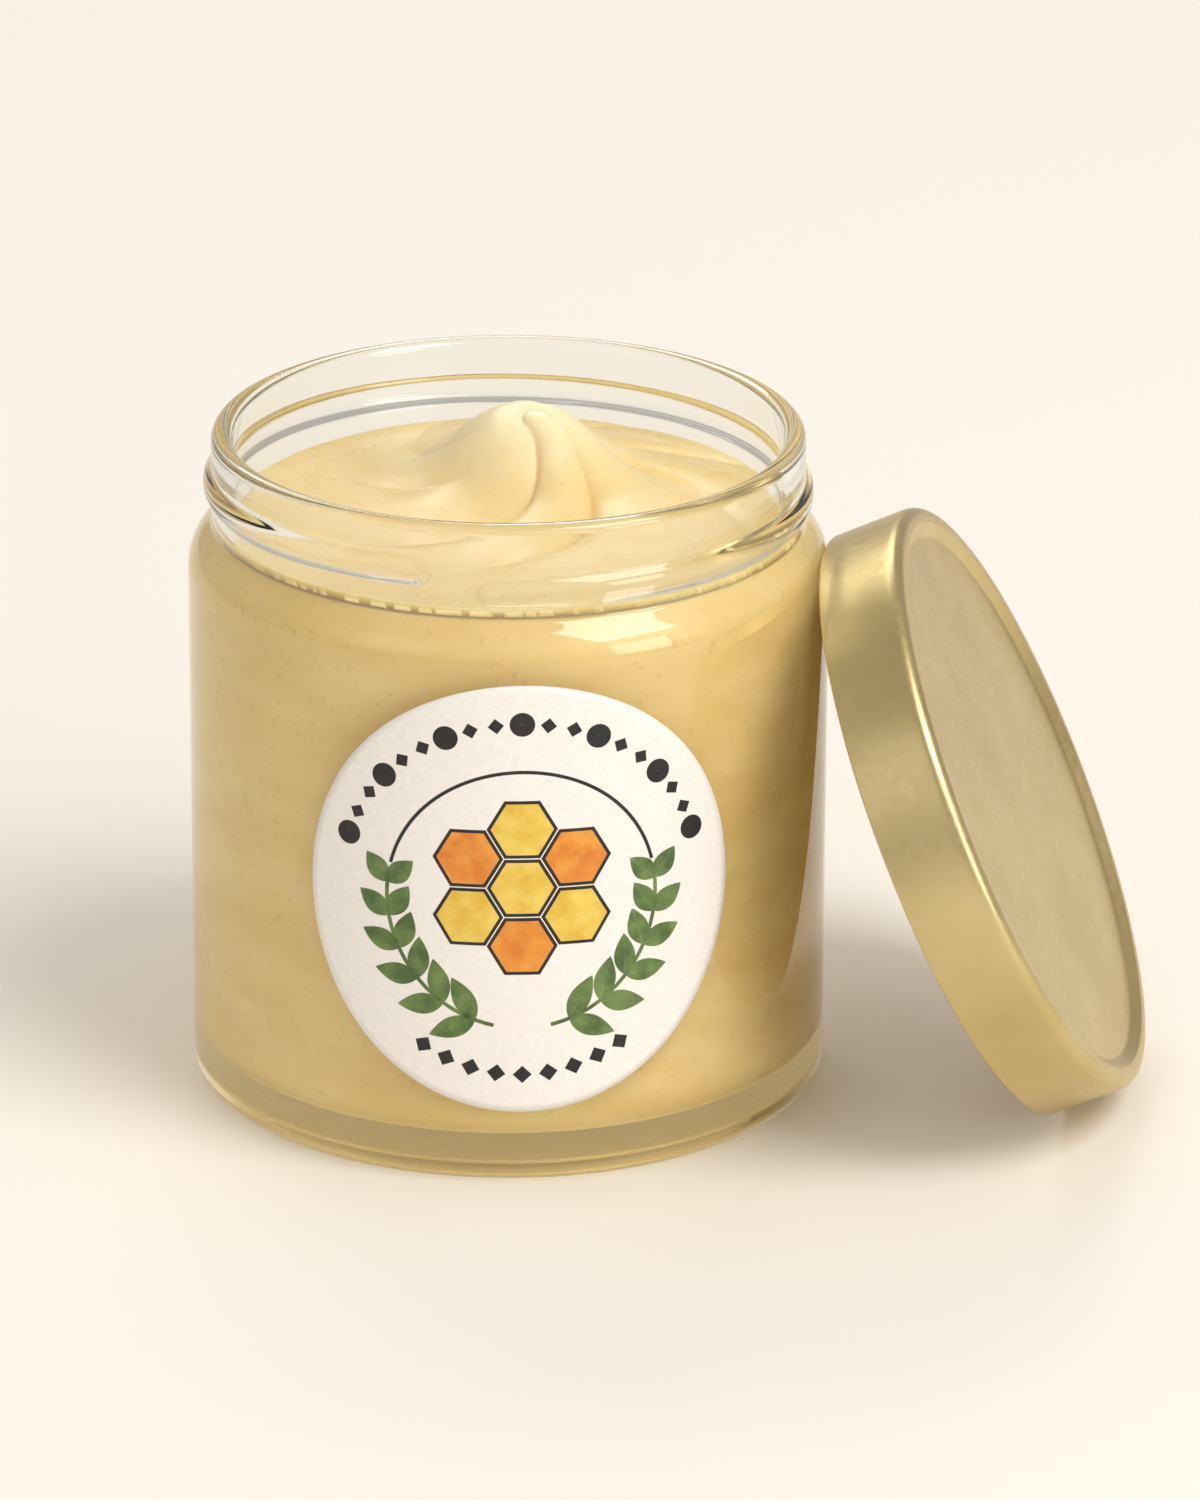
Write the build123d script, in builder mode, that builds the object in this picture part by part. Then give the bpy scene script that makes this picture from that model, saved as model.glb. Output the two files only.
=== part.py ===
"""Honey jar: a clear straight-sided glass jar of whipped honey with a round label on its front,
and its pressed metal lid, taken off and leaning against the jar.

Z is up. The jar stands on Z = 0 with its axis on Z, and its label faces -Y.
"""
import os
from math import atan2, cos, degrees, exp, hypot, radians, sin, sqrt

from build123d import *

# --- Driving dimensions, millimetres and degrees -------------------------------------------

# Glass jar
body_radius = 36.2
jar_height = 77.0
body_wall = 2.9
neck_step = 2.75  # how far the neck stands in from the body
neck_wall = 2.4
neck_height = 10.8  # from the top of the shoulder to the rim
shoulder_rise = 2.9
shoulder_round = 6.2
inner_shoulder_rise = 3.2
base_thickness = 4.6
push_up = 1.3  # hollow under the base
foot_width = 4.6  # ring that the jar stands on, with its heel
heel_round = 2.4
inner_corner = 5.0

# Thread: one ridge that winds nearly once round the neck
thread_depth = 0.95
thread_round = 1.6
thread_drop = 7.8  # from the rim down to the middle of the thread's lower end
thread_rise = 2.3
thread_start = -93.0  # direction of the lower end, anticlockwise from +X seen from above
thread_sweep = 345.0

# Honey
honey_gap = 0.1  # between the honey and the glass
fill_drop = 10.1  # from the rim down to the honey's edge

# Label
label_diameter = 50.0
label_height = 34.3  # middle of the label above the floor
label_turn = 2.4  # round the jar from the front, anticlockwise seen from above
label_thickness = 0.15
label_gap = 0.05

# Lid
lid_height = 9.8
lid_sheet = 0.3
lid_hem = 0.5  # thickness of the folded lower edge
lid_hem_height = 1.4
lid_clearance = 0.1  # between the lid's hem and the thread
lid_shoulder_round = 1.4
lid_bead_width = 2.2
lid_bead_round = 0.6
lid_panel_depth = 0.9
lid_panel_slope = 1.3
lid_lean = 24.6  # of the lid's axis above level
lid_direction = -8.0  # of the lid from the jar, anticlockwise from +X seen from above
lid_gap = 0.1  # between the lid's edge and the jar it leans on

# --- Sizes that follow ---------------------------------------------------------------------

neck_radius = body_radius - neck_step
bore_radius = neck_radius - neck_wall
inner_radius = body_radius - body_wall
shoulder_top = jar_height - neck_height
shoulder_bottom = shoulder_top - shoulder_rise
rim_round = 0.48 * neck_wall
neck_fillet = 0.25 * shoulder_rise
inner_shoulder_top = shoulder_top - 0.4 * neck_wall
inner_shoulder_bottom = inner_shoulder_top - inner_shoulder_rise
inner_shoulder_round = 0.8 * inner_shoulder_rise
thread_radius = neck_radius + thread_depth
thread_bottom = jar_height - thread_drop
honey_level = jar_height - fill_drop
label_radius = label_diameter / 2
lid_radius = thread_radius + lid_clearance + lid_hem

# --- Swirl on top of the honey -------------------------------------------------------------

# A low slope and a steeper dome make the mound. A rope of honey starts as a round head in the
# hollow of the swirl and runs down to the front, with a crease on each side. Shallow folds turn
# the same way round the rest of the mound.
swirl_x = 3.5
swirl_y = 5.4
mound_x = 2.0
mound_y = 7.8
slope_rise = 5.2
slope_reach = 16.0
dome_rise = 4.9
dome_reach = 9.3
dome_edge = 3.4
lip_rise = 0.8
lip_radius = 4.6
lip_width = 2.3
lip_side = 110.0
rope_start = -46.0
rope_turn = 3.0  # degrees per millimetre away from the swirl's centre
rope_head = 1.5
rope_spread = 0.21
rope_lift = 0.5
rope_reach = 18.0
right_crease = 2.2
left_crease = 1.2
right_run = 2.0
left_run = 3.0
fold_turn = 3.2
fold_inner = 6.5
fold_outer = 24.0
folds = [(57, 1.5, 2.6), (103, 1.1, 2.4), (145, 0.6, 2.6), (201, 0.85, 2.6), (241, 0.6, 2.2)]


def half_turn(angle):
    """The angle in degrees, brought between -180 and 180."""
    return (angle + 180) % 360 - 180


def mound(x, y):
    """Height of the smooth mound above the honey's edge."""
    away = hypot(x - mound_x, y - mound_y)
    slope = slope_rise * exp(-((away / slope_reach) ** 2))
    return slope + dome_rise * exp(-((away / dome_reach) ** dome_edge))


def lip(away, angle):
    """Height of the lip that curls round the back of the hollow."""
    ring = exp(-(((away - lip_radius) / lip_width) ** 2))
    return lip_rise * ring * (0.5 + 0.5 * cos(radians(angle - lip_side)))


def rope(away, angle):
    """Height of the rope of honey and of the crease on each side of it."""
    turn = half_turn(angle - rope_start + rope_turn * away)
    across = away * sin(radians(min(abs(turn), 90)))
    width = rope_head + rope_spread * away
    fade = exp(-((away / rope_reach) ** 4))
    grow = min(away / rope_head / 3, 1)
    crease = (right_crease if turn > 0 else left_crease) * (0.5 + 0.5 * grow) * fade
    run = right_run if turn > 0 else left_run
    if across > width:
        return -crease * exp((width - across) / run)
    crest = crease + rope_lift * grow * fade
    return crest * sqrt(1 - (across / width) ** 2) - crease


def fold(away, angle, offset, depth, width):
    """Depth of one shallow fold that winds out over the mound."""
    turn = half_turn(angle + fold_turn * away - offset)
    across = 2 * away * sin(radians(turn) / 2)
    reach = exp(-((away / fold_outer) ** 4)) * (1 - exp(-((away / fold_inner) ** 3)))
    return -depth * reach * exp(-hypot(across, 0.4) / width)


def honey_top(x, y):
    """Height of the honey's surface above the floor."""
    away = hypot(x - swirl_x, y - swirl_y)
    angle = degrees(atan2(y - swirl_y, x - swirl_x))
    height = honey_level + mound(x, y) + lip(away, angle) + rope(away, angle)
    return height + sum(fold(away, angle, *each) for each in folds)


# --- Glass jar -----------------------------------------------------------------------------

with BuildPart() as jar:
    with BuildSketch(Plane.XZ) as jar_section:
        with BuildLine():
            FilletPolyline(
                (0, push_up),
                (body_radius - foot_width - push_up, push_up),
                (body_radius - foot_width, 0),
                (body_radius, 0),
                (body_radius, shoulder_bottom),
                (neck_radius, shoulder_top),
                (neck_radius, jar_height),
                (bore_radius, jar_height),
                (bore_radius, inner_shoulder_top),
                (inner_radius, inner_shoulder_bottom),
                (inner_radius, base_thickness),
                (0, base_thickness),
                radius=[
                    push_up,
                    0.6,
                    heel_round,
                    shoulder_round,
                    neck_fillet,
                    rim_round,
                    rim_round,
                    inner_shoulder_round,
                    inner_shoulder_round,
                    inner_corner,
                ],
            )
            Line((0, base_thickness), (0, push_up))
        make_face()
    revolve(axis=Axis.Z)
    # The ridge is a round bar bent along a helix, sunk into the neck, with a ball at each end.
    start_plane = Plane.XY.offset(thread_bottom).rotated((0, 0, thread_start))
    thread_pitch = thread_rise * 360 / thread_sweep
    with BuildLine(start_plane) as thread_path:
        Helix(thread_pitch, thread_rise, thread_radius - thread_round)
    ridge_path = thread_path.line
    with BuildSketch(Plane(origin=ridge_path @ 0, z_dir=ridge_path % 0)) as thread_section:
        Circle(thread_round)
    sweep(sections=thread_section.sketch, path=ridge_path, is_frenet=True)
    with Locations(ridge_path @ 0, ridge_path @ 1):
        Sphere(thread_round)
jar.part.label = "jar"

# --- Honey ---------------------------------------------------------------------------------

swirl_half = inner_radius + 1
swirl_steps = 96
swirl_line = [swirl_half * (2 * step / swirl_steps - 1) for step in range(swirl_steps + 1)]
swirl_points = [[Vector(x, y, honey_top(x, y)) for y in swirl_line] for x in swirl_line]
swirl_face = Face.make_surface_from_array_of_points(swirl_points, tol=0.02)

with BuildPart() as honey:
    with BuildSketch(Plane.XZ) as honey_section:
        with BuildLine():
            FilletPolyline(
                (0, base_thickness + honey_gap),
                (inner_radius - honey_gap, base_thickness + honey_gap),
                (inner_radius - honey_gap, inner_shoulder_bottom),
                (bore_radius - honey_gap, inner_shoulder_top),
                (bore_radius - honey_gap, jar_height + neck_height),
                (0, jar_height + neck_height),
                radius=[
                    inner_corner - honey_gap,
                    inner_shoulder_round - honey_gap,
                    inner_shoulder_round + honey_gap,
                    rim_round,
                ],
            )
            Line((0, jar_height + neck_height), (0, base_thickness + honey_gap))
        make_face()
    revolve(axis=Axis.Z)
    split(bisect_by=swirl_face, keep=Keep.BOTTOM)
honey.part.label = "honey"

# --- Label ---------------------------------------------------------------------------------


def label_edge(angle):
    """Point on the edge of the round label, wrapped on the glass and seen square on."""
    around = label_radius * cos(radians(angle))
    return body_radius * sin(around / body_radius), label_radius * sin(radians(angle))


label_side = (cos(radians(label_turn)), sin(radians(label_turn)), 0)
label_out = (sin(radians(label_turn)), -cos(radians(label_turn)), 0)
label_plane = Plane(origin=(0, 0, label_height), x_dir=label_side, z_dir=label_out)

with BuildPart() as label:
    with BuildSketch(Plane.XY.offset(label_height - label_diameter)):
        Circle(body_radius + label_gap + label_thickness)
        Circle(body_radius + label_gap, mode=Mode.SUBTRACT)
    extrude(amount=2 * label_diameter)
    with BuildSketch(label_plane) as label_outline:
        with BuildLine():
            Spline(*[label_edge(angle) for angle in range(0, 360, 15)], periodic=True)
        make_face()
    extrude(amount=body_radius * 2, mode=Mode.INTERSECT)
label.part.label = "label"

# --- Lid -----------------------------------------------------------------------------------


def jar_outline(height):
    """Outer radius of the jar at one height, with the thread as a whole ring."""
    if abs(height - thread_bottom - thread_rise / 2) < thread_rise / 2 + thread_round:
        return thread_radius
    if height > shoulder_top:
        return neck_radius
    slant = hypot(neck_step, shoulder_rise)
    tangent = shoulder_round * (slant - shoulder_rise) / neck_step
    if height < shoulder_bottom - tangent:
        return body_radius
    if height > shoulder_bottom + tangent * shoulder_rise / slant:
        return neck_radius + (shoulder_top - height) / shoulder_rise * neck_step
    above = height - shoulder_bottom + tangent
    return body_radius - shoulder_round + sqrt(shoulder_round**2 - above**2)


def lid_stand_off():
    """Distance from the jar's axis to the middle of the lid's edge, leaning at lid_lean."""
    lean = radians(lid_lean)
    needed = []
    for step in range(-90, 91):
        inward = lid_radius * cos(radians(step)) * sin(lean)
        height = lid_radius * (1 + cos(radians(step))) * cos(lean)
        aside = lid_radius * sin(radians(step))
        reach = jar_outline(height) + lid_gap
        if height < jar_height and abs(aside) < reach:
            needed.append(inward + sqrt(reach**2 - aside**2))
    return max(needed)


def lid_vector(side, up):
    """Direction with the given share away from the jar and share upwards."""
    turn = radians(lid_direction)
    return Vector(side * cos(turn), side * sin(turn), up)


lid_axis = lid_vector(cos(radians(lid_lean)), sin(radians(lid_lean)))
lid_up = lid_vector(-sin(radians(lid_lean)), cos(radians(lid_lean)))
lid_middle = lid_vector(lid_stand_off(), lid_radius * cos(radians(lid_lean)))
lid_plane = Plane(origin=lid_middle, x_dir=lid_up, z_dir=lid_up.cross(lid_axis))

with BuildPart() as lid:
    with BuildSketch(lid_plane) as lid_section:
        with BuildLine():
            FilletPolyline(
                (lid_radius, 0),
                (lid_radius, lid_height),
                (lid_radius - lid_bead_width, lid_height),
                (lid_radius - lid_bead_width - lid_panel_slope, lid_height - lid_panel_depth),
                (0, lid_height - lid_panel_depth),
                radius=[lid_shoulder_round, lid_bead_round, lid_bead_round],
            )
            offset(amount=lid_sheet, side=Side.LEFT)
        make_face()
        with Locations((lid_radius - lid_hem / 2, lid_hem_height / 2)):
            RectangleRounded(lid_hem, lid_hem_height, 0.45 * lid_hem)
    revolve(axis=Axis(lid_middle, lid_axis))
lid.part.label = "lid"

# --- Files ---------------------------------------------------------------------------------

os.makedirs("parts", exist_ok=True)
export_step(jar.part, "parts/jar.step")
export_step(honey.part, "parts/honey.step")
export_step(label.part, "parts/label.step")
export_step(lid.part, "parts/lid.step")
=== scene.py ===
"""Looks of the honey jar: clear glass, swirled whipped honey, a printed paper label and a satin
gold lid, on a pale floor in soft studio light. Lengths named below are millimetres, as in the
model, and become metres where a mesh is made."""
from math import cos, pi, radians, sin, sqrt

import bpy
import numpy as np
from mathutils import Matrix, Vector


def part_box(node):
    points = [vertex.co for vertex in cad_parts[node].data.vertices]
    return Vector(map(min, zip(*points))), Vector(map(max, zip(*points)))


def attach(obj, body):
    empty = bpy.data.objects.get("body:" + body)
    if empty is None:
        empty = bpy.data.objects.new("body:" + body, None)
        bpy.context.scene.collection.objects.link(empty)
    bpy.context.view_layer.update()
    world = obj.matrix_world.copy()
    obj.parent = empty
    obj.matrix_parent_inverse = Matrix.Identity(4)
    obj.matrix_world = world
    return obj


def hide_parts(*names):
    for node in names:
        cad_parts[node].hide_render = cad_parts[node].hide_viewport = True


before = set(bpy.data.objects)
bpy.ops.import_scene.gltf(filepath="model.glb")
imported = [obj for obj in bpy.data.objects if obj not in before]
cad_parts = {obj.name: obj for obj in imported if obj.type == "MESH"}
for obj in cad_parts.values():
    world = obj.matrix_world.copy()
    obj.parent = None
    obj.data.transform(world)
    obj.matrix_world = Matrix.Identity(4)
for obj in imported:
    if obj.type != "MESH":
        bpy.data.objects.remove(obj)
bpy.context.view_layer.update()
MM = 0.001

# --- Sizes, taken from the jar's box in model.glb and from the model's own driving values ---

jar_low, jar_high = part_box("jar")
body_radius = jar_high.x / MM
jar_height = jar_high.z / MM
body_wall = 2.9
neck_step = 2.75  # how far the neck stands in from the body
neck_wall = 2.4
neck_height = 10.8
shoulder_rise = 2.9
neck_radius = body_radius - neck_step
bore_radius = neck_radius - neck_wall
inner_radius = body_radius - body_wall
shoulder_top = jar_height - neck_height
shoulder_bottom = shoulder_top - shoulder_rise
inner_shoulder_top = shoulder_top - 0.96
inner_shoulder_bottom = inner_shoulder_top - 3.2
base_thickness = 4.6
thread_depth = 0.95
thread_bottom = jar_height - 7.8
thread_rise = 2.3
thread_start = -93.0
thread_sweep = 345.0
thread_half_width = 1.75
honey_level = jar_height - 10.1
glass_bite = 0.3  # how far the honey reaches into the glass
around_steps = 420  # steps round the jar, in the glass and the honey alike
label_radius = 24.7
label_stretch = 1.025  # the round label stands a little taller than it is wide
label_height = 34.3
label_turn = 2.4
label_face = body_radius + 0.2
sprig_radius = 15.2
bead_radius = 20.8
print_step = 0.4  # longest step along an edge of the print
lid_radius = 35.0
lid_height = 9.8
lid_sheet = 0.3
lid_panel_drop = 0.9  # how deep the panel is sunk
lid_panel_edge = 3.5
lid_bead = 2.2
lid_hem = 0.5
lid_hem_height = 1.4
lid_lean = 24.6
lid_direction = -8.0
lid_stand_off = 50.19


# --- Meshes --------------------------------------------------------------------------------

def grid_object(name, points, replaced=None, uv=None):
    """A mesh over an (m, n, 3) grid of points in millimetres, joined round its second axis."""
    rows, columns = points.shape[:2]
    index = np.arange(rows * columns).reshape(rows, columns)
    beside = np.roll(index, -1, axis=1)
    quads = np.stack([index[:-1], beside[:-1], beside[1:], index[1:]], -1).reshape(-1, 4)
    mesh = bpy.data.meshes.new(name)
    mesh.from_pydata((points.reshape(-1, 3) * MM).tolist(), [], quads.tolist())
    mesh.polygons.foreach_set("use_smooth", np.ones(len(mesh.polygons), bool))
    if uv is not None:
        corners = np.zeros(len(mesh.loops), int)
        mesh.loops.foreach_get("vertex_index", corners)
        layer = mesh.uv_layers.new(name="UVMap")
        layer.data.foreach_set("uv", uv.reshape(-1, 2)[corners].ravel())
    mesh.update()
    piece = bpy.data.objects.new(name, mesh)
    bpy.context.scene.collection.objects.link(piece)
    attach(piece, "root")
    if replaced:
        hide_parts(replaced)
    return piece


def rounded(corners, radii, arc_steps=10, spacing=1.0):
    """Points along a path of straight runs through the corners, each corner turned into an arc
    of its radius, and each run cut into steps of about the spacing."""
    corners = np.array(corners, float)
    path = [corners[0]]
    for before, corner, after, radius in zip(corners, corners[1:], corners[2:], radii):
        back = (before - corner) / np.linalg.norm(before - corner)
        ahead = (after - corner) / np.linalg.norm(after - corner)
        half = np.arccos(np.clip(back @ ahead, -1, 1)) / 2
        middle = corner + (back + ahead) / np.linalg.norm(back + ahead) * radius / np.sin(half)
        first = corner + back * radius / np.tan(half) - middle
        last = corner + ahead * radius / np.tan(half) - middle
        swing = pi - 2 * half
        share = np.linspace(0, 1, arc_steps + 1)[:, None] * swing
        arc = (first * np.sin(swing - share) + last * np.sin(share)) / np.sin(swing)
        path.extend(middle + arc)
    path.append(corners[-1])
    filled = [path[0]]
    for start, end in zip(path, path[1:]):
        steps = max(1, int(np.ceil(np.linalg.norm(end - start) / spacing)))
        filled.extend(start + (end - start) * np.arange(1, steps + 1)[:, None] / steps)
    return np.array(filled)


def revolved(profile, segments):
    """Points (r cos t, r sin t, z) of a profile of (r, z) turned round the Z axis."""
    turn = np.linspace(0, 2 * pi, segments, endpoint=False)
    r, z = profile[:, :1], profile[:, 1:]
    return np.stack([r * np.cos(turn), r * np.sin(turn), z + 0 * turn], -1)


# --- Glass ---------------------------------------------------------------------------------

def thread_ridge(points):
    """Pushes the neck's outside out by a rounded ridge that winds up round it:
    depth * (1 - (drop / half width)^2)^(3/4), with its ends rounded off over 3 degrees."""
    radius = np.hypot(points[..., 0], points[..., 1])
    turn = np.degrees(np.arctan2(points[..., 1], points[..., 0])) - thread_start
    along = turn % 360
    past = np.where(along > (360 + thread_sweep) / 2, along - 360, along)
    inside = np.clip(past, 0, thread_sweep)
    beyond = np.radians(np.abs(past - inside)) * neck_radius
    middle = thread_bottom + thread_rise * inside / thread_sweep
    away = np.hypot(points[..., 2] - middle, beyond) / thread_half_width
    ridge = thread_depth * np.clip(1 - away ** 2, 0, 1) ** 0.75
    on_neck = (radius > neck_radius - 0.02) & (points[..., 2] > shoulder_top)
    scale = 1 + np.where(on_neck, ridge, 0) / np.maximum(radius, 1)
    points[..., :2] *= scale[..., None]
    return points


def make_jar():
    """The glass: its section turned round Z, out from under the base, over the rim and down
    to the middle of the inside."""
    section = rounded(
        [(0.01, 1.3), (body_radius - 5.9, 1.3), (body_radius - 4.6, 0), (body_radius, 0),
         (body_radius, shoulder_bottom), (neck_radius, shoulder_top), (neck_radius, jar_height),
         (bore_radius, jar_height), (bore_radius, inner_shoulder_top),
         (inner_radius, inner_shoulder_bottom), (inner_radius, base_thickness),
         (0.01, base_thickness)],
        [1.3, 0.6, 2.4, 6.2, 1.1, 1.15, 1.15, 2.5, 2.5, 5.0], arc_steps=18, spacing=0.3)
    return grid_object("glass_jar", thread_ridge(revolved(section, around_steps)), "jar")


# --- Honey ---------------------------------------------------------------------------------

swirl_centre = (3.5, 5.4)
mound_centre = (2.0, 7.8)
folds = [(57, 1.5, 2.6), (103, 1.1, 2.4), (145, 0.6, 2.6), (201, 0.85, 2.6), (241, 0.6, 2.2)]


def half_turn(angle):
    """The angle in degrees, brought between -180 and 180."""
    return (angle + 180) % 360 - 180


def rope(away, angle):
    """The rope of honey that comes out of the swirl's hollow: a round crest between two creases
    that close round its head, wider and straighter as it runs to the front."""
    turn = half_turn(angle + 46 + 3 * away)
    across = away * np.sin(np.radians(np.minimum(np.abs(turn), 90)))
    width = 1.5 + 0.21 * away
    fade = np.exp(-(away / 18) ** 4)
    grow = np.minimum(away / 4.5, 1)
    crease = np.where(turn > 0, 2.2, 1.2) * (0.5 + 0.5 * grow) * fade
    crest = (crease + 0.5 * grow * fade) * np.sqrt(np.clip(1 - (across / width) ** 2, 0, 1))
    outside = -crease * np.exp(np.minimum(width - across, 0) / np.where(turn > 0, 2.0, 3.0))
    return np.where(across > width, outside, crest - crease)


def honey_top(x, y):
    """Height of the honey: a low slope, a steeper dome, a lip round the hollow, the rope and
    five shallow folds that wind out over the mound."""
    mound = np.hypot(x - mound_centre[0], y - mound_centre[1])
    away = np.hypot(x - swirl_centre[0], y - swirl_centre[1])
    angle = np.degrees(np.arctan2(y - swirl_centre[1], x - swirl_centre[0]))
    height = honey_level + 5.2 * np.exp(-(mound / 16) ** 2) + 4.9 * np.exp(-(mound / 9.3) ** 3.4)
    lip = 0.8 * np.exp(-((away - 4.6) / 2.3) ** 2)
    height = height + lip * (0.5 + 0.5 * np.cos(np.radians(angle - 110))) + rope(away, angle)
    reach = np.exp(-(away / 24) ** 4) * (1 - np.exp(-(away / 6.5) ** 3))
    for offset, depth, width in folds:
        across = 2 * away * np.sin(np.radians(half_turn(angle + 3.2 * away - offset)) / 2)
        height = height - depth * reach * np.exp(-np.hypot(across, 0.4) / width)
    return height


def make_honey():
    """The honey: rings from the middle of its swirled top out to the glass, then down the
    inside of the jar and across the base. It reaches just into the glass."""
    edge = bore_radius + glass_bite
    turn = np.linspace(0, 2 * pi, around_steps, endpoint=False)
    ring = np.linspace(0, 1, 200)[:, None] ** 0.8 * edge
    x, y = ring * np.cos(turn), ring * np.sin(turn)
    top = np.stack([x, y, honey_top(x, y)], -1)
    side = rounded(
        [(edge, honey_level - 1.4), (edge, inner_shoulder_top + 0.32 * glass_bite),
         (inner_radius + glass_bite, inner_shoulder_bottom + 0.32 * glass_bite),
         (inner_radius + glass_bite, base_thickness - glass_bite),
         (0.01, base_thickness - glass_bite)],
        [2.5 - glass_bite, 2.5 + glass_bite, 5.0 + glass_bite], arc_steps=18)
    points = np.concatenate([top, revolved(side, around_steps)])
    return grid_object("honey_fill", points, "honey")


# --- Label ---------------------------------------------------------------------------------

def on_label(across, up, lift=0.0):
    """Points on the label's face: across is measured round the glass from its middle."""
    turn = radians(label_turn - 90) + across / body_radius
    out = label_face + lift
    return np.stack([out * np.cos(turn), out * np.sin(turn), label_height + up + 0 * turn], -1)


def make_label():
    """The round paper label: rings from its middle to its edge, and its back."""
    turn = np.linspace(0, 2 * pi, 180, endpoint=False)
    ring = np.concatenate([np.linspace(0, 1, 30), np.linspace(1, 0, 4)])[:, None] * label_radius
    lift = np.concatenate([np.zeros(30), np.full(4, -0.17)])[:, None]
    across, up = ring * np.cos(turn), ring * np.sin(turn) * label_stretch
    uv = np.stack([across, up], -1) / (2 * label_radius) + 0.5
    points = on_label(across, up, lift + 0 * turn)
    return grid_object("paper_label", points, "label", uv)


def fine_edge(corners):
    """A closed outline cut into short steps, so that it can follow the curved glass."""
    fine = []
    for start, end in zip(corners, np.roll(corners, -1, axis=0)):
        steps = max(1, int(np.ceil(np.linalg.norm(end - start) / print_step)))
        fine.append(start + (end - start) * np.arange(steps)[:, None] / steps)
    return np.concatenate(fine)


def print_shapes(name, shapes, lift):
    """One piece of print: closed outlines of (across, up) points on the label, each filled
    from its middle, or bands given as a pair of edges."""
    vertices, faces = [], []
    for shape in shapes:
        start = sum(len(part) for part in vertices)
        if isinstance(shape, tuple):
            inner, outer = shape
            vertices.append(np.concatenate([inner, outer]))
            count = len(inner)
            for step in range(count - 1):
                faces.append((start + step, start + count + step,
                              start + count + step + 1, start + step + 1))
        else:
            edge = fine_edge(shape)
            count = len(edge)
            rings = np.linspace(1, 0.02, 8)[:, None, None]
            vertices.append((edge.mean(0) + rings * (edge - edge.mean(0))).reshape(-1, 2))
            index = start + np.arange(8 * count).reshape(8, count)
            turned = np.roll(index, -1, axis=1)
            filled = np.stack([index[:-1], index[1:], turned[1:], turned[:-1]], -1)
            faces.extend(filled.reshape(-1, 4).tolist())
    flat = np.concatenate(vertices)
    mesh = bpy.data.meshes.new(name)
    places = on_label(flat[:, 0], flat[:, 1], lift) * MM
    mesh.from_pydata(places.tolist(), [], faces)
    mesh.polygons.foreach_set("use_smooth", np.ones(len(mesh.polygons), bool))
    mesh.update()
    piece = bpy.data.objects.new(name, mesh)
    bpy.context.scene.collection.objects.link(piece)
    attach(piece, "root")
    return piece


def around(middle, radius, sides, first=0.0):
    """Corners of a regular outline."""
    turn = np.linspace(0, 2 * pi, sides, endpoint=False) + first
    return np.array(middle) + radius * np.stack([np.cos(turn), np.sin(turn)], -1)


def band(radius, width, start, end):
    """Two edges of an arc of a ring, from one direction in degrees to another."""
    turn = np.radians(np.linspace(start, end, 90))
    unit = np.stack([np.cos(turn), np.sin(turn)], -1)
    return unit * (radius - width / 2), unit * (radius + width / 2)


def leaf(base, length, width, direction):
    """A leaf: width * sin(pi * s^0.85)^0.9 on each side of a midrib of the given length."""
    share = np.linspace(0, 1, 16)
    side = width * np.sin(pi * share ** 0.85) ** 0.9
    edge = np.concatenate([np.stack([share * length, side], -1),
                           np.stack([share * length, -side], -1)[::-1]])
    turn = radians(direction)
    spin = np.array([[cos(turn), sin(turn)], [-sin(turn), cos(turn)]])
    return edge @ spin + base


def comb_cells(size):
    """Middles of seven honeycomb cells: one in the middle and six round it."""
    return [np.zeros(2)] + [around((0, 0), size * sqrt(3), 6, pi / 6)[k] for k in range(6)]


# --- Lid -----------------------------------------------------------------------------------

def lid_place(points):
    """Turns the lid's own frame, Z along its axis from the open edge, into its leaning place."""
    lean, way = radians(lid_lean), radians(lid_direction)
    outward = np.array([cos(way), sin(way), 0.0])
    upward = np.array([0.0, 0.0, 1.0])
    axis = outward * cos(lean) + upward * sin(lean)
    rise = upward * cos(lean) - outward * sin(lean)
    side = np.cross(axis, rise)
    middle = outward * lid_stand_off + upward * lid_radius * cos(lean)
    return middle + points @ np.stack([rise, side, axis])


def make_lid():
    """The pressed lid: the outside from the middle of the panel over the bead and the shoulder
    to the hem, then the inside back, one sheet thickness in."""
    panel = lid_height - lid_panel_drop
    outside = rounded(
        [(0.01, panel), (lid_radius - lid_panel_edge, panel),
         (lid_radius - lid_bead, lid_height), (lid_radius, lid_height), (lid_radius, 0.0),
         (lid_radius - lid_hem, 0.0), (lid_radius - lid_hem, lid_hem_height),
         (lid_radius - lid_sheet, lid_hem_height),
         (lid_radius - lid_sheet, lid_height - lid_sheet),
         (lid_radius - lid_bead, lid_height - lid_sheet),
         (lid_radius - lid_panel_edge, panel - lid_sheet), (0.01, panel - lid_sheet)],
        [0.7, 0.6, 1.4, 0.22, 0.22, 0.08, 0.08, 1.1, 0.5, 0.7], spacing=0.6)
    points = lid_place(revolved(outside, 300))
    return grid_object("gold_lid", points, "lid")


# --- Materials -----------------------------------------------------------------------------

def srgb(red, green, blue):
    """A colour given in everyday 0 to 255 values, as the linear values that shaders take."""
    share = np.array([red, green, blue]) / 255
    linear = np.where(share > 0.04045, ((share + 0.055) / 1.055) ** 2.4, share / 12.92)
    return (*linear.tolist(), 1.0)


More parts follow.
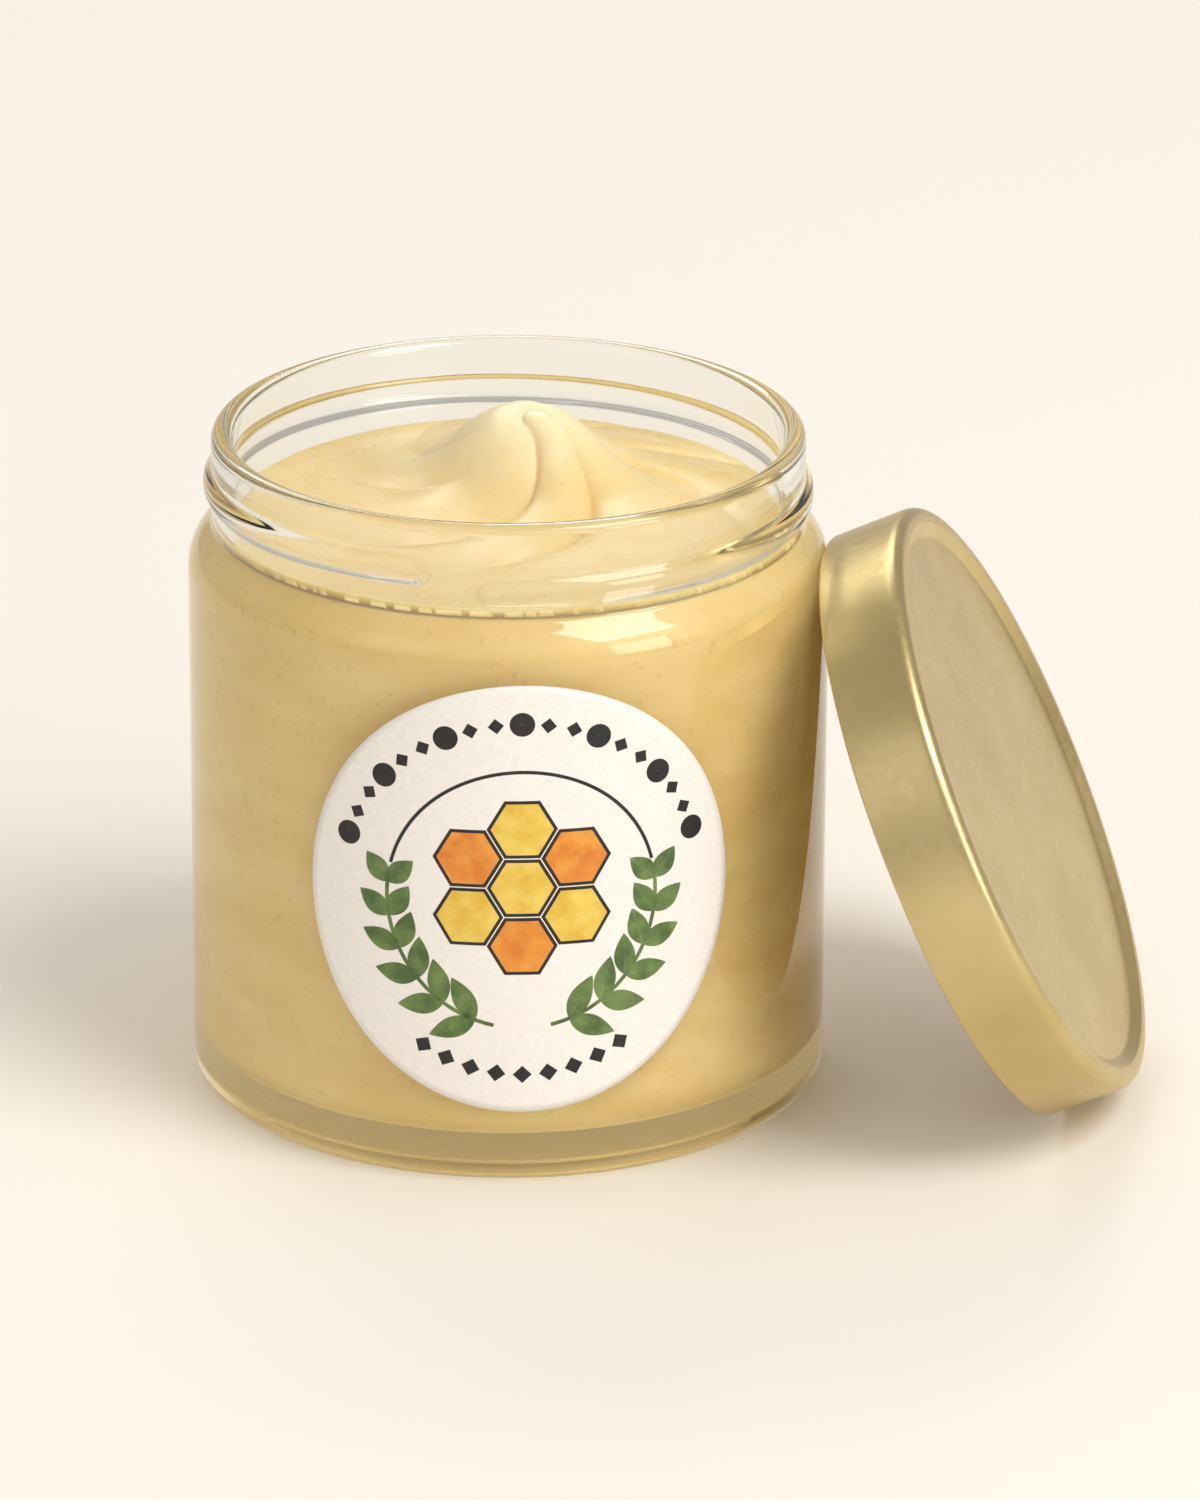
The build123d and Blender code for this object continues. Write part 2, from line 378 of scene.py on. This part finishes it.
class Material:
    """A node material with short ways to add and join nodes."""

    def __init__(self, name, **values):
        self.data = bpy.data.materials.new(name)
        self.data.use_nodes = True
        self.tree = self.data.node_tree
        self.shader = self.tree.nodes["Principled BSDF"]
        for socket, value in values.items():
            self.shader.inputs[socket.replace("_", " ")].default_value = value

    def add(self, kind, inputs=None, **settings):
        """A node with its settings, and its inputs set to values or joined to outputs."""
        node = self.tree.nodes.new(kind)
        for key, value in settings.items():
            setattr(node, key, value)
        for key, value in (inputs or {}).items():
            self.join(value, node.inputs[key])
        return node

    def join(self, value, socket):
        """Links an output to the socket, or sets the socket's value."""
        if isinstance(value, bpy.types.NodeSocket):
            self.tree.links.new(value, socket)
        else:
            socket.default_value = value

    def noise(self, scale, detail=3.0, stretch=None):
        """Noise over the object's own coordinates, stretched along an axis if asked."""
        place = self.add("ShaderNodeTexCoord").outputs["Object"]
        if stretch:
            place = self.add("ShaderNodeMapping", {"Vector": place, "Scale": stretch})
            place = place.outputs["Vector"]
        node = self.add("ShaderNodeTexNoise", {"Vector": place, "Scale": scale, "Detail": detail})
        return node.outputs["Fac"]

    def ramp(self, factor, *stops):
        """Colours or greys at given places along a factor."""
        node = self.add("ShaderNodeValToRGB", {"Fac": factor})
        elements = node.color_ramp.elements
        while len(elements) < len(stops):
            elements.new(0.5)
        for element, (place, colour) in zip(elements, stops):
            element.position = place
            element.color = colour if isinstance(colour, tuple) else (colour,) * 3 + (1.0,)
        return node.outputs["Color"]

    def bump(self, height, strength, distance):
        """Small relief on the shader's normal."""
        node = self.add("ShaderNodeBump", {"Height": height, "Strength": strength,
                                           "Distance": distance})
        self.join(node.outputs["Normal"], self.shader.inputs["Normal"])

    def colour(self, value):
        """Joins a colour to the shader's base."""
        self.join(value, self.shader.inputs["Base Color"])


def glass_material():
    """Clear, almost neutral glass with very slight waves from the mould. Shadow and diffuse
    rays pass straight through it, so that light reaches the honey."""
    glass = Material("clear_glass", Base_Color=srgb(248, 249, 246), Roughness=0.02, IOR=1.48)
    glass.shader.inputs["Transmission Weight"].default_value = 1.0
    glass.bump(glass.noise(90.0, 2.0, (1.0, 1.0, 0.5)), 0.06, 0.0006)
    path = glass.add("ShaderNodeLightPath").outputs
    either = glass.add("ShaderNodeMath", operation="MAXIMUM")
    glass.join(path["Is Shadow Ray"], either.inputs[0])
    glass.join(path["Is Diffuse Ray"], either.inputs[1])
    clear = glass.add("ShaderNodeBsdfTransparent", {"Color": srgb(246, 247, 240)})
    mixed = glass.add("ShaderNodeMixShader", {"Fac": either.outputs["Value"]})
    glass.join(glass.shader.outputs["BSDF"], mixed.inputs[1])
    glass.join(clear.outputs["BSDF"], mixed.inputs[2])
    glass.join(mixed.outputs["Shader"], glass.tree.nodes["Material Output"].inputs["Surface"])
    return glass.data


def honey_material():
    """Whipped honey: soft, pale and a little see-through, with faint streaks and fine specks.
    Its crests are painted paler, a painted highlight on the top of the mound. Its underside has a
    painted glow: emission that stands in for light the glass base carries in."""
    honey = Material("whipped_honey", Roughness=0.36, IOR=1.45)
    streak = honey.ramp(honey.noise(70.0, 5.0, (1.0, 1.0, 2.6)),
                        (0.3, srgb(232, 200, 129)), (0.75, srgb(244, 217, 154)))
    speck = honey.ramp(honey.noise(900.0, 1.0), (0.26, 0.90), (0.33, 1.0))
    mixed = honey.add("ShaderNodeMix", {"Factor": 1.0}, data_type="RGBA", blend_type="MULTIPLY")
    honey.join(streak, mixed.inputs["A"])
    honey.join(speck, mixed.inputs["B"])
    place = honey.add("ShaderNodeTexCoord").outputs["Object"]
    height = honey.add("ShaderNodeSeparateXYZ", {"Vector": place}).outputs["Z"]
    share = honey.add("ShaderNodeMath", {0: height, 1: 10.0}, operation="MULTIPLY")
    share = share.outputs["Value"]
    # Painted highlight: from about 68 mm up, the honey's colour is blended towards pale cream,
    # standing in for light falling on the swirl's top.
    crest = honey.add("ShaderNodeMix", data_type="RGBA")
    honey.join(honey.ramp(share, (0.68, 0.0), (0.765, 0.7)), crest.inputs["Factor"])
    honey.join(mixed.outputs["Result"], crest.inputs["A"])
    honey.join(srgb(254, 240, 203), crest.inputs["B"])
    honey.colour(crest.outputs["Result"])
    shader = honey.shader.inputs
    shader["Subsurface Weight"].default_value = 0.55
    shader["Subsurface Radius"].default_value = (1.0, 0.62, 0.28)
    shader["Subsurface Scale"].default_value = 0.0035
    honey.join(honey.ramp(honey.noise(240.0, 3.0), (0.3, 0.24), (0.7, 0.40)), shader["Roughness"])
    # Painted light: below about 5 mm the honey emits a dim warm colour, a painted glow standing
    # in for light carried in by the glass base.
    painted_underside_glow = honey.ramp(share, (0.045, srgb(112, 104, 78)), (0.056, 0.0))
    honey.join(painted_underside_glow, shader["Emission Color"])
    shader["Emission Strength"].default_value = 1.0
    honey.bump(honey.noise(420.0, 4.0), 0.12, 0.0004)
    return honey.data


def paper_material():
    """Matt off-white label paper with a fine fibre grain, by noise over the object."""
    paper = Material("label_paper", Roughness=0.62)
    paper.colour(paper.ramp(paper.noise(1500.0, 4.0), (0.3, srgb(243, 237, 229)),
                            (0.7, srgb(249, 244, 238))))
    paper.bump(paper.noise(2600.0, 3.0), 0.12, 0.0001)
    return paper.data


def ink_material(name, low, high):
    """Printed ink: its colour drifts between two tones, and the paper's grain shows in it."""
    ink = Material(name, Roughness=0.5)
    ink.colour(ink.ramp(ink.noise(420.0, 3.0), (0.35, srgb(*low)), (0.65, srgb(*high))))
    ink.bump(ink.noise(2600.0, 3.0), 0.1, 0.0001)
    return ink.data


def gold_material():
    """Satin gold lacquer on tinplate: soft reflections, with a fine rolled grain."""
    gold = Material("satin_gold", Metallic=1.0)
    gold.colour(gold.ramp(gold.noise(60.0, 5.0), (0.3, srgb(200, 178, 122)),
                          (0.7, srgb(216, 196, 143))))
    grain = gold.noise(1100.0, 4.0)
    gold.join(gold.ramp(grain, (0.3, 0.30), (0.7, 0.40)), gold.shader.inputs["Roughness"])
    gold.bump(grain, 0.08, 0.0001)
    return gold.data


def dress(piece, material):
    """Gives a piece its one material."""
    piece.data.materials.clear()
    piece.data.materials.append(material)


# --- Building ------------------------------------------------------------------------------

dress(make_jar(), glass_material())
dress(make_honey(), honey_material())
dress(make_label(), paper_material())
dress(make_lid(), gold_material())

black = ink_material("ink_black", (24, 22, 20), (38, 35, 32))
green = ink_material("ink_green", (74, 100, 48), (112, 138, 74))
amber = ink_material("ink_amber", (222, 128, 40), (240, 160, 60))
yellow = ink_material("ink_yellow", (226, 184, 60), (240, 208, 96))

cell = 4.0
comb_middle = np.array([0.0, 1.5])
cells = [comb_middle + middle for middle in comb_cells(cell)]
hexagons = [around(middle, cell * 0.87, 6, 0.0) for middle in cells]
outlines = [around(middle, cell * 0.98, 6, 0.0) for middle in cells]
stems = [band(sprig_radius, 0.45, start, end) for start, end in ((-78, 8), (172, 258))]
sprigs = []
for side in (1, -1):
    for step in range(6):
        place = -90 + side * (20 + 15 * step)
        spot = sprig_radius * np.array([cos(radians(place)), sin(radians(place))])
        for tilt in (-42, 42):
            sprigs.append(leaf(spot, 5.6 - 0.3 * step, 1.25, place + side * 90 + tilt))
beads = []
for step in range(19):
    place = radians(18 + 8 * step)
    size = 0.9 if step % 3 else 1.4
    spot = (bead_radius * cos(place), bead_radius * sin(place))
    beads.append(around(spot, size, 4 if step % 3 else 24, place))
for step in range(9):
    place = radians(-122 + 8 * step)
    spot = (bead_radius * cos(place), bead_radius * sin(place))
    beads.append(around(spot, 1.05, 4, place))

arc = band(sprig_radius, 0.4, 14, 166)
dress(print_shapes("print_outlines", outlines + beads + [arc], 0.010), black)
dress(print_shapes("print_cells_amber", hexagons[1::2], 0.020), amber)
dress(print_shapes("print_cells_yellow", hexagons[0::2], 0.020), yellow)
dress(print_shapes("print_leaves", sprigs + stems, 0.015), green)

# --- Stage, light and camera ---------------------------------------------------------------

floor_mesh = bpy.data.meshes.new("floor")
floor_mesh.from_pydata([(-4, -3, 0), (4, -3, 0), (4, 6, 0), (-4, 6, 0)], [], [(0, 1, 2, 3)])
floor = bpy.data.objects.new("floor", floor_mesh)
bpy.context.scene.collection.objects.link(floor)
floor_paint = Material("floor_paint", Base_Color=srgb(249, 243, 233), Roughness=0.8)
floor_paint.bump(floor_paint.noise(300.0), 0.02, 0.0002)
dress(floor, floor_paint.data)


def lamp(name, place, width, height, power, tint=(1.0, 1.0, 1.0)):
    """A soft rectangular light that faces the jar."""
    light = bpy.data.lights.new(name, "AREA")
    light.shape = "RECTANGLE"
    light.size = width
    light.size_y = height
    light.energy = power
    light.color = tint
    holder = bpy.data.objects.new(name, light)
    holder.location = place
    toward = Vector((0, 0, 0.04)) - Vector(place)
    holder.rotation_euler = toward.to_track_quat("-Z", "Y").to_euler()
    bpy.context.scene.collection.objects.link(holder)


lamp("key", (0.7, -0.55, 1.15), 0.7, 0.7, 10.9, (1.0, 0.995, 0.98))
lamp("back", (-0.2, 1.1, 1.0), 0.9, 0.5, 4.8, (1.0, 0.99, 0.98))
lamp("fill", (-0.9, -1.0, 0.7), 0.8, 0.8, 1.2, (1.0, 0.99, 0.98))
lamp("side", (1.0, -0.9, 0.45), 0.5, 0.5, 3.4, (1.0, 0.99, 0.98))

world = bpy.data.worlds.new("studio")
bpy.context.scene.world = world
world.use_nodes = True
world.node_tree.nodes["Background"].inputs["Color"].default_value = srgb(255, 251, 247)
world.node_tree.nodes["Background"].inputs["Strength"].default_value = 0.48

camera_distance = 1.0137
camera_rise = radians(21.23)
camera_aim = 0.037
camera = bpy.data.cameras.new("camera")
camera.sensor_width = 36.0
camera.lens = 213.5
camera.shift_x = 0.061
camera.shift_y = 0.0058
camera.clip_start = 0.01
viewer = bpy.data.objects.new("camera", camera)
viewer.location = (0, -camera_distance * cos(camera_rise),
                   camera_aim + camera_distance * sin(camera_rise))
viewer.rotation_euler = (pi / 2 - camera_rise, 0, 0)
bpy.context.scene.collection.objects.link(viewer)
bpy.context.scene.camera = viewer
bpy.context.scene.view_settings.view_transform = "Standard"
